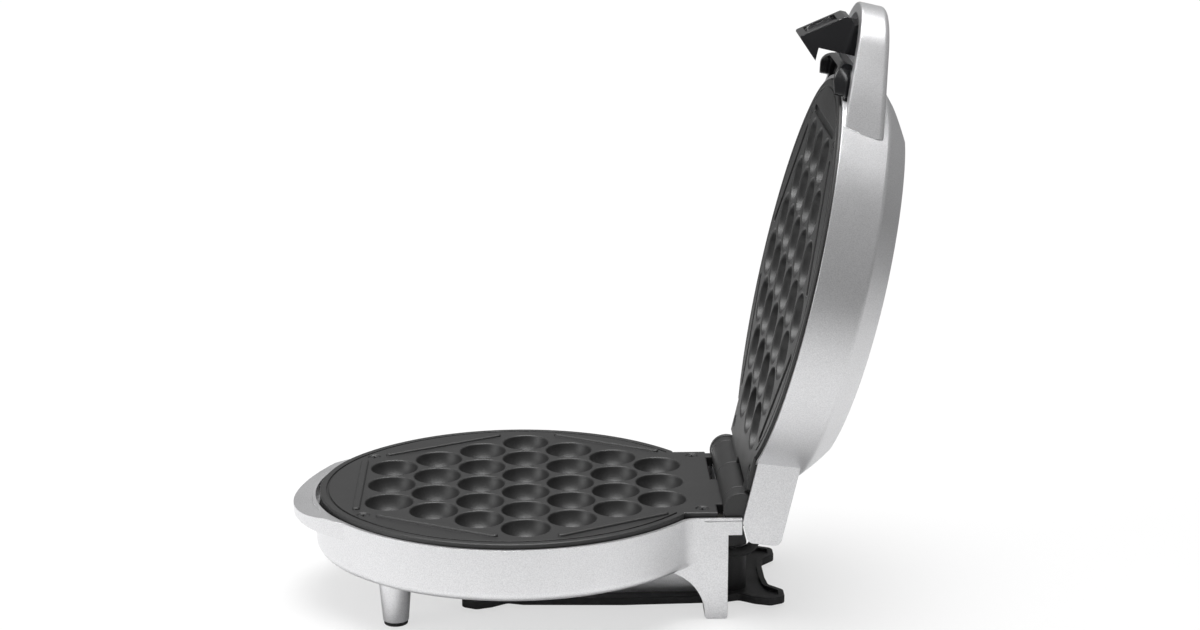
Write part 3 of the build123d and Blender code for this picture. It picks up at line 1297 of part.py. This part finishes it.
with BuildPart() as upper_reflector_screws:
    add(small_screws(LID, REFLECTOR_POSTS, REFLECTOR_DEPTH - SMALL_HEAD_HEIGHT, SMALL_HEAD_HEIGHT + POST_R))

with BuildPart() as upper_thermostat:
    add(thermostat(LID))

with BuildPart() as indicator_lenses:
    with BuildSketch(LID.offset(LID_TOP_DEPTH)):
        with Locations(LENSES):
            Circle(LENS_FLANGE_R)
    extrude(amount=LENS_PROUD)
    with BuildSketch(LID.offset(LID_TOP_DEPTH)):
        with Locations(LENSES):
            Circle(LENS_R - SCREW_CLEARANCE)
    extrude(amount=-2 * LID_ROOF)

with BuildPart() as indicator_lamps:
    lamp_low = REFLECTOR_DEPTH + REFLECTOR_THICK + LAMP_CLEARANCE
    with BuildSketch(LID.offset(lamp_low)):
        with Locations(LENSES):
            Circle(LAMP_R)
    extrude(amount=LID_TOP_DEPTH - 2 * LID_ROOF - ELEMENT_GAP - lamp_low)

# ---------------------------------------------------------------- conduit

CONDUIT_EXIT = (LID_BLOCK_REAR_X - ELEMENT_GAP, CONDUIT_Y, CONDUIT_LID_DEPTH)

with BuildPart() as conduit_gland_lid:
    add(gland(LID, CONDUIT_EXIT, GLAND_FLANGE_R, GLAND_R, CONDUIT_HOLE_R, GLAND_LENGTH))

# The conduit leaves the base level and the lid square to its rear face
inner_place = Vector(*CONDUIT_EXIT) - Vector(GLAND_LENGTH / 2, 0, 0)
lid_inner = BASE.to_local_coords(LID.from_local_coords(inner_place))
lid_outer = BASE.to_local_coords(LID.from_local_coords(CONDUIT_EXIT))
reach = (CONDUIT_DEPTH - lid_outer.Z) / (lid_outer.Z - lid_inner.Z)
bend_x = lid_outer.X + reach * (lid_outer.X - lid_inner.X)

with BuildPart() as conduit:
    with BuildLine(side_of(BASE, CONDUIT_BASE_Y)) as conduit_path:
        FilletPolyline(
            (BLOCK_REAR_X - GLAND_LENGTH / 2, CONDUIT_DEPTH),
            (bend_x, CONDUIT_DEPTH),
            (lid_inner.X, lid_inner.Z),
            radius=CONDUIT_BEND_R,
        )
    with BuildSketch(Plane(conduit_path.line @ 0, z_dir=conduit_path.line % 0)):
        Circle(CONDUIT_R)
        Circle(CONDUIT_BORE_R, mode=Mode.SUBTRACT)
    sweep()

conduit_length = conduit_path.wire().length
section = math.pi * (CONDUIT_R**2 - CONDUIT_BORE_R**2)
print("conduit: bend radius", CONDUIT_BEND_R, "length", round(conduit_length, 2))
print("conduit volume over section x length", conduit.part.volume / (section * conduit_length))

# ---------------------------------------------------------------- hand-over

PIECES = {
    "base_shell": base_shell,
    "bottom_cover": bottom_cover,
    "bottom_cover_screws": bottom_cover_screws,
    "cord_spool": cord_spool,
    "cord_winder": cord_winder,
    "winder_screws": winder_screws,
    "front_feet": front_feet,
    "front_foot_screws": front_foot_screws,
    "front_foot_pads": front_foot_pads,
    "rear_foot_pads": rear_foot_pads,
    "cord_inlet": cord_inlet,
    "conduit_gland_base": conduit_gland_base,
    "conduit": conduit,
    "lower_plate": lower_plate,
    "lower_plate_screws": lower_plate_screws,
    "lower_element": lower_element,
    "lower_reflector": lower_reflector,
    "lower_reflector_screws": lower_reflector_screws,
    "lower_thermostat": lower_thermostat,
    "thermal_fuse": thermal_fuse,
    "terminal_block": terminal_block,
    "hinge_pin": hinge_pin,
    "hinge_cap_base": hinge_cap_base,
    "hinge_cap_lid": hinge_cap_lid,
    "lid_shell": lid_shell,
    "upper_plate": upper_plate,
    "upper_plate_screws": upper_plate_screws,
    "upper_element": upper_element,
    "upper_reflector": upper_reflector,
    "upper_reflector_screws": upper_reflector_screws,
    "upper_thermostat": upper_thermostat,
    "indicator_lenses": indicator_lenses,
    "indicator_lamps": indicator_lamps,
    "conduit_gland_lid": conduit_gland_lid,
    "handle_loop": handle_loop,
    "thumb_guard": thumb_guard,
    "latch_lever": latch_lever,
    "latch_pin": latch_pin,
    "latch_spring": latch_spring,
}

os.makedirs("parts", exist_ok=True)
for name, piece in PIECES.items():
    piece.part.label = name
    export_step(piece.part, f"parts/{name}.step")
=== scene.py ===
import json
import math

import bmesh
import bpy
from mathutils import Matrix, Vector

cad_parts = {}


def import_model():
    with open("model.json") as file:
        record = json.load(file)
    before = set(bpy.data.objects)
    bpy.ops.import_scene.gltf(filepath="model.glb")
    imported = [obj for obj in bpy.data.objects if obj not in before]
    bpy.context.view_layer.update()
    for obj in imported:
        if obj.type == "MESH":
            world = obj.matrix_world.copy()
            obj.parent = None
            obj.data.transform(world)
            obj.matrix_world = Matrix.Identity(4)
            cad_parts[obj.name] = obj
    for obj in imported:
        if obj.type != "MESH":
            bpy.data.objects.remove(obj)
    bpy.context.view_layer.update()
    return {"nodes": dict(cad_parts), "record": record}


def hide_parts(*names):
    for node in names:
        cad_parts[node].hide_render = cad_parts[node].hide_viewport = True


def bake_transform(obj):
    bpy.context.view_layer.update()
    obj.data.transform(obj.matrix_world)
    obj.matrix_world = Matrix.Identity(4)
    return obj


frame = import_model()

# ---------------------------------------------------------------- materials

# Lengths in metres
GRAIN_HEIGHT = 0.0002
SOFT_EDGE = 0.0005
EDGE_SAMPLES = 6
# The roughness drifts over patches this many grains across
GRAINS_PER_PATCH = 40


def new_material(name):
    """A material, its node tree and its Principled shader."""
    material = bpy.data.materials.new(name)
    material.use_nodes = True
    tree = material.node_tree
    shader = tree.nodes["Principled BSDF"]
    return material, tree, shader


def noise(tree, scale, detail=2.0):
    """A 3-D noise in the object's own metres."""
    where = tree.nodes.new("ShaderNodeTexCoord")
    texture = tree.nodes.new("ShaderNodeTexNoise")
    texture.inputs["Scale"].default_value = scale
    texture.inputs["Detail"].default_value = detail
    texture.inputs["Roughness"].default_value = 0.5
    tree.links.new(where.outputs["Object"], texture.inputs["Vector"])
    return texture.outputs["Fac"]


def spread(tree, value, low, high, start=0.3, end=0.7):
    """Maps one range of a value to another range."""
    mapping = tree.nodes.new("ShaderNodeMapRange")
    mapping.inputs["From Min"].default_value = start
    mapping.inputs["From Max"].default_value = end
    mapping.inputs["To Min"].default_value = low
    mapping.inputs["To Max"].default_value = high
    tree.links.new(value, mapping.inputs["Value"])
    return mapping.outputs["Result"]


def blend_colours(tree, value, first, second):
    """A colour that runs between two by a value from 0 to 1."""
    mix = tree.nodes.new("ShaderNodeMix")
    mix.data_type = "RGBA"
    mix.inputs["A"].default_value = (*first, 1)
    mix.inputs["B"].default_value = (*second, 1)
    tree.links.new(value, mix.inputs["Factor"])
    return mix.outputs["Result"]


def add_bump(tree, shader, height, strength, edge):
    """Raises a height over the shader's normal, whose sharp edges are softened by a radius."""
    softened = tree.nodes.new("ShaderNodeBevel")
    softened.samples = EDGE_SAMPLES
    softened.inputs["Radius"].default_value = edge
    bump = tree.nodes.new("ShaderNodeBump")
    tree.links.new(softened.outputs["Normal"], bump.inputs["Normal"])
    bump.inputs["Strength"].default_value = strength
    bump.inputs["Distance"].default_value = GRAIN_HEIGHT
    tree.links.new(height, bump.inputs["Height"])
    tree.links.new(bump.outputs["Normal"], shader.inputs["Normal"])


def surface(name, first, second, metallic, rough, grain, bump, edge=SOFT_EDGE, specular=0.5):
    """A moulded, cast or rolled surface: two close colours, a rough range, and fine grain."""
    material, tree, shader = new_material(name)
    shader.inputs["Metallic"].default_value = metallic
    shader.inputs["Specular IOR Level"].default_value = specular
    fine = noise(tree, grain, 3.0)
    broad = noise(tree, grain / GRAINS_PER_PATCH)
    colour = blend_colours(tree, spread(tree, fine, 0.0, 1.0), first, second)
    tree.links.new(colour, shader.inputs["Base Color"])
    tree.links.new(spread(tree, broad, *rough), shader.inputs["Roughness"])
    add_bump(tree, shader, fine, bump, edge)
    return material


SILVER = surface(
    "silver_painted_plastic",
    (0.66, 0.66, 0.67),
    (0.84, 0.84, 0.85),
    metallic=0.85, rough=(0.32, 0.37), grain=2000, bump=0.32,
)
COATED = surface(
    "nonstick_coating",
    (0.012, 0.012, 0.012),
    (0.019, 0.019, 0.019),
    metallic=0.0, rough=(0.44, 0.51), grain=1900, bump=0.3, edge=0.0008, specular=0.7,
)
BLACK = surface(
    "black_matte_plastic",
    (0.012, 0.012, 0.013),
    (0.020, 0.020, 0.021),
    metallic=0.0, rough=(0.5, 0.6), grain=1500, bump=0.35,
)
GLOSSY = surface(
    "black_gloss_plastic",
    (0.006, 0.006, 0.007),
    (0.009, 0.009, 0.010),
    metallic=0.0, rough=(0.12, 0.17), grain=900, bump=0.05, edge=0.0007,
)
RUBBER = surface(
    "black_rubber",
    (0.015, 0.015, 0.015),
    (0.024, 0.024, 0.024),
    metallic=0.0, rough=(0.7, 0.85), grain=1200, bump=0.4,
)
BARE = surface(
    "bare_aluminium",
    (0.72, 0.72, 0.73),
    (0.82, 0.82, 0.83),
    metallic=1.0, rough=(0.28, 0.4), grain=1200, bump=0.2,
)
SHEATH = surface(
    "element_sheath",
    (0.16, 0.14, 0.13),
    (0.24, 0.22, 0.20),
    metallic=0.9, rough=(0.45, 0.6), grain=700, bump=0.3,
)
IVORY = surface(
    "ivory_ceramic",
    (0.62, 0.58, 0.48),
    (0.70, 0.66, 0.56),
    metallic=0.0, rough=(0.45, 0.6), grain=900, bump=0.2,
)
STEEL = surface(
    "zinc_steel",
    (0.40, 0.40, 0.41),
    (0.52, 0.52, 0.53),
    metallic=1.0, rough=(0.3, 0.42), grain=1500, bump=0.2,
)
DARK_STEEL = surface(
    "blackened_steel",
    (0.045, 0.045, 0.046),
    (0.075, 0.075, 0.076),
    metallic=0.6, rough=(0.35, 0.45), grain=1500, bump=0.2,
)
LENS = surface(
    "red_lens",
    (0.42, 0.02, 0.015),
    (0.5, 0.03, 0.02),
    metallic=0.0, rough=(0.1, 0.16), grain=500, bump=0.03,
)
LAMP = surface(
    "clear_lamp",
    (0.7, 0.66, 0.58),
    (0.76, 0.72, 0.64),
    metallic=0.0, rough=(0.15, 0.25), grain=400, bump=0.05,
)

LOOKS = {
    "base_shell": SILVER,
    "bottom_cover": SILVER,
    "cord_spool": SILVER,
    "front_feet": SILVER,
    "lid_shell": SILVER,
    "handle_loop": SILVER,
    "lower_plate": COATED,
    "upper_plate": COATED,
    "cord_winder": BLACK,
    "hinge_cap_base": COATED,
    "hinge_cap_lid": COATED,
    "cord_inlet": BLACK,
    "conduit_gland_base": BLACK,
    "conduit_gland_lid": BLACK,
    "thumb_guard": GLOSSY,
    "latch_lever": GLOSSY,
    "front_foot_pads": RUBBER,
    "rear_foot_pads": RUBBER,
    "conduit": RUBBER,
    "lower_reflector": BARE,
    "upper_reflector": BARE,
    "lower_element": SHEATH,
    "upper_element": SHEATH,
    "lower_thermostat": IVORY,
    "upper_thermostat": IVORY,
    "terminal_block": IVORY,
    "thermal_fuse": IVORY,
    "indicator_lenses": LENS,
    "indicator_lamps": LAMP,
    "lower_plate_screws": DARK_STEEL,
    "upper_plate_screws": DARK_STEEL,
}

for node in [entry["node"] for entry in frame["record"]["subparts"]]:
    mesh = bpy.data.objects[node].data
    mesh.materials.clear()
    mesh.materials.append(LOOKS.get(node, STEEL))

# ---------------------------------------------------------------- the conduit across the hinge

# Where the conduit leaves the base's bush and enters the lid's, in metres in the shared frame
# Along its two straight lengths and into the bend: a direction, and where added rings start and stop
CONDUIT_RUNS = (
    (Vector((1, 0, 0)), 0.0665, 0.0765),
    (Vector((0.2233, 0, 0.9748)), 0.0475, 0.0610),
)
CONDUIT_RING_GAP = 0.0005
# Points closer than this are taken as one, in metres
CONDUIT_MERGE = 1e-6
# Corners sharper than this stay sharp on it, in degrees
CONDUIT_SHARP = 40.0


def conduit_run():
    """The conduit with close rings cut along its straight lengths and into the bend, in place of the
    plain one.
    """
    source = frame["nodes"]["conduit"]
    mesh = source.data.copy()
    mesh.name = "conduit_run"
    mesh.transform(source.matrix_world)
    rings = bmesh.new()
    rings.from_mesh(mesh)
    bmesh.ops.remove_doubles(rings, verts=rings.verts, dist=CONDUIT_MERGE)
    for along, low, high in CONDUIT_RUNS:
        for step in range(int((high - low) / CONDUIT_RING_GAP)):
            everything = rings.verts[:] + rings.edges[:] + rings.faces[:]
            spot = along * (low + (step + 0.5) * CONDUIT_RING_GAP)
            bmesh.ops.bisect_plane(
                rings, geom=everything, dist=CONDUIT_MERGE, plane_co=spot, plane_no=along
            )
    rings.to_mesh(mesh)
    rings.free()
    mesh.shade_smooth()
    mesh.set_sharp_from_angle(angle=math.radians(CONDUIT_SHARP))
    mesh.materials.clear()
    mesh.materials.append(RUBBER)
    run = bpy.data.objects.new("conduit_run", mesh)
    bpy.context.scene.collection.objects.link(run)
    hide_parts("conduit")
    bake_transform(run)


conduit_run()

# ---------------------------------------------------------------- floor, light and camera

# What the camera sees as white paper, and the studio's own light
PAPER_STRENGTH = 1.02
STUDIO_STRENGTH = 0.22
GLOSSY_SHARE = 0.1
# The floor's reach, and the paper's share of it, which grows from NEAR to FAR from its middle, in metres
FLOOR_HALF_WIDTH = 14.0
NEAR_PAPER_SHARE = 0.62
NEAR = 0.1
FAR = 0.5


def floor():
    """A wide pale floor that is white to the camera but keeps the machine's shadow."""
    mesh = bpy.data.meshes.new("floor")
    reach = FLOOR_HALF_WIDTH
    corners = [(-reach, -reach, 0), (reach, -reach, 0), (reach, reach, 0), (-reach, reach, 0)]
    mesh.from_pydata(corners, [], [(0, 1, 2, 3)])
    plane = bpy.data.objects.new("floor", mesh)
    bpy.context.scene.collection.objects.link(plane)
    material, tree, shader = new_material("floor")
    shader.inputs["Base Color"].default_value = (0.82, 0.82, 0.82, 1)
    shader.inputs["Roughness"].default_value = 0.9
    shader.inputs["Specular IOR Level"].default_value = 0.0
    # Far from the machine the camera sees plain white paper, near it some of the lit floor too
    where = tree.nodes.new("ShaderNodeTexCoord")
    distance = tree.nodes.new("ShaderNodeVectorMath")
    distance.operation = "LENGTH"
    tree.links.new(where.outputs["Object"], distance.inputs[0])
    share = spread(tree, distance.outputs["Value"], NEAR_PAPER_SHARE, 1.0, NEAR, FAR)
    paper = tree.nodes.new("ShaderNodeEmission")
    paper.inputs["Color"].default_value = (1, 1, 1, 1)
    paper.inputs["Strength"].default_value = PAPER_STRENGTH
    path = tree.nodes.new("ShaderNodeLightPath")
    seen = tree.nodes.new("ShaderNodeMath")
    seen.operation = "MULTIPLY"
    mix = tree.nodes.new("ShaderNodeMixShader")
    output = tree.nodes["Material Output"]
    tree.links.new(path.outputs["Is Camera Ray"], seen.inputs[0])
    tree.links.new(share, seen.inputs[1])
    tree.links.new(seen.outputs[0], mix.inputs["Fac"])
    tree.links.new(shader.outputs[0], mix.inputs[1])
    tree.links.new(paper.outputs[0], mix.inputs[2])
    tree.links.new(mix.outputs[0], output.inputs["Surface"])
    mesh.materials.append(material)


def soft_light(name, place, target, size, power, spread_angle):
    """A rectangular area lamp aimed at a point, with its spread in degrees."""
    lamp = bpy.data.lights.new(name, "AREA")
    lamp.shape = "RECTANGLE"
    lamp.size, lamp.size_y = size
    lamp.energy = power
    lamp.spread = math.radians(spread_angle)
    holder = bpy.data.objects.new(name, lamp)
    holder.location = place
    holder.rotation_euler = (Vector(target) - Vector(place)).to_track_quat("-Z", "Y").to_euler()
    bpy.context.scene.collection.objects.link(holder)


def world():
    """A grey studio, a little lighter to glossy rays and white to the camera and through glass."""
    sky = bpy.data.worlds.new("studio")
    sky.use_nodes = True
    tree = sky.node_tree
    background = tree.nodes["Background"]
    background.inputs["Color"].default_value = (1, 1, 1, 1)
    path = tree.nodes.new("ShaderNodeLightPath")
    shown = path.outputs["Is Camera Ray"]
    for kind, share in (("Is Transmission Ray", 1.0), ("Is Glossy Ray", GLOSSY_SHARE)):
        part = tree.nodes.new("ShaderNodeMath")
        part.operation = "MULTIPLY"
        part.inputs[1].default_value = share
        tree.links.new(path.outputs[kind], part.inputs[0])
        most = tree.nodes.new("ShaderNodeMath")
        most.operation = "MAXIMUM"
        tree.links.new(shown, most.inputs[0])
        tree.links.new(part.outputs[0], most.inputs[1])
        shown = most.outputs[0]
    strength = tree.nodes.new("ShaderNodeMapRange")
    strength.inputs["To Min"].default_value = STUDIO_STRENGTH
    strength.inputs["To Max"].default_value = PAPER_STRENGTH
    tree.links.new(shown, strength.inputs["Value"])
    tree.links.new(strength.outputs["Result"], background.inputs["Strength"])
    bpy.context.scene.world = sky


floor()
world()
soft_light(
    "overhead",
    place=(-0.1, 0.15, 1.5),
    target=(-0.1, 0.1, 0.0),
    size=(1.3, 1.3),
    power=6.7,
    spread_angle=65.0,
)
soft_light(
    "key",
    place=(-1.5, -0.6, 0.7),
    target=(0.1, 0.0, 0.2),
    size=(1.0, 1.0),
    power=1.4,
    spread_angle=60.0,
)
soft_light(
    "handle",
    place=(0.3, -1.9, 0.7),
    target=(0.12, 0.0, 0.43),
    size=(0.1, 0.1),
    power=0.3,
    spread_angle=10.0,
)

lens = bpy.data.cameras.new("camera")
lens.sensor_width = 36.0
lens.lens = 73.73
camera = bpy.data.objects.new("camera", lens)
camera.location = (-0.029745, -1.22046, 0.48474)
camera.rotation_euler = [math.radians(angle) for angle in (74.5826, 0.1065, -1.6838)]
bpy.context.scene.collection.objects.link(camera)
bpy.context.scene.camera = camera
bpy.context.scene.view_settings.view_transform = "Standard"
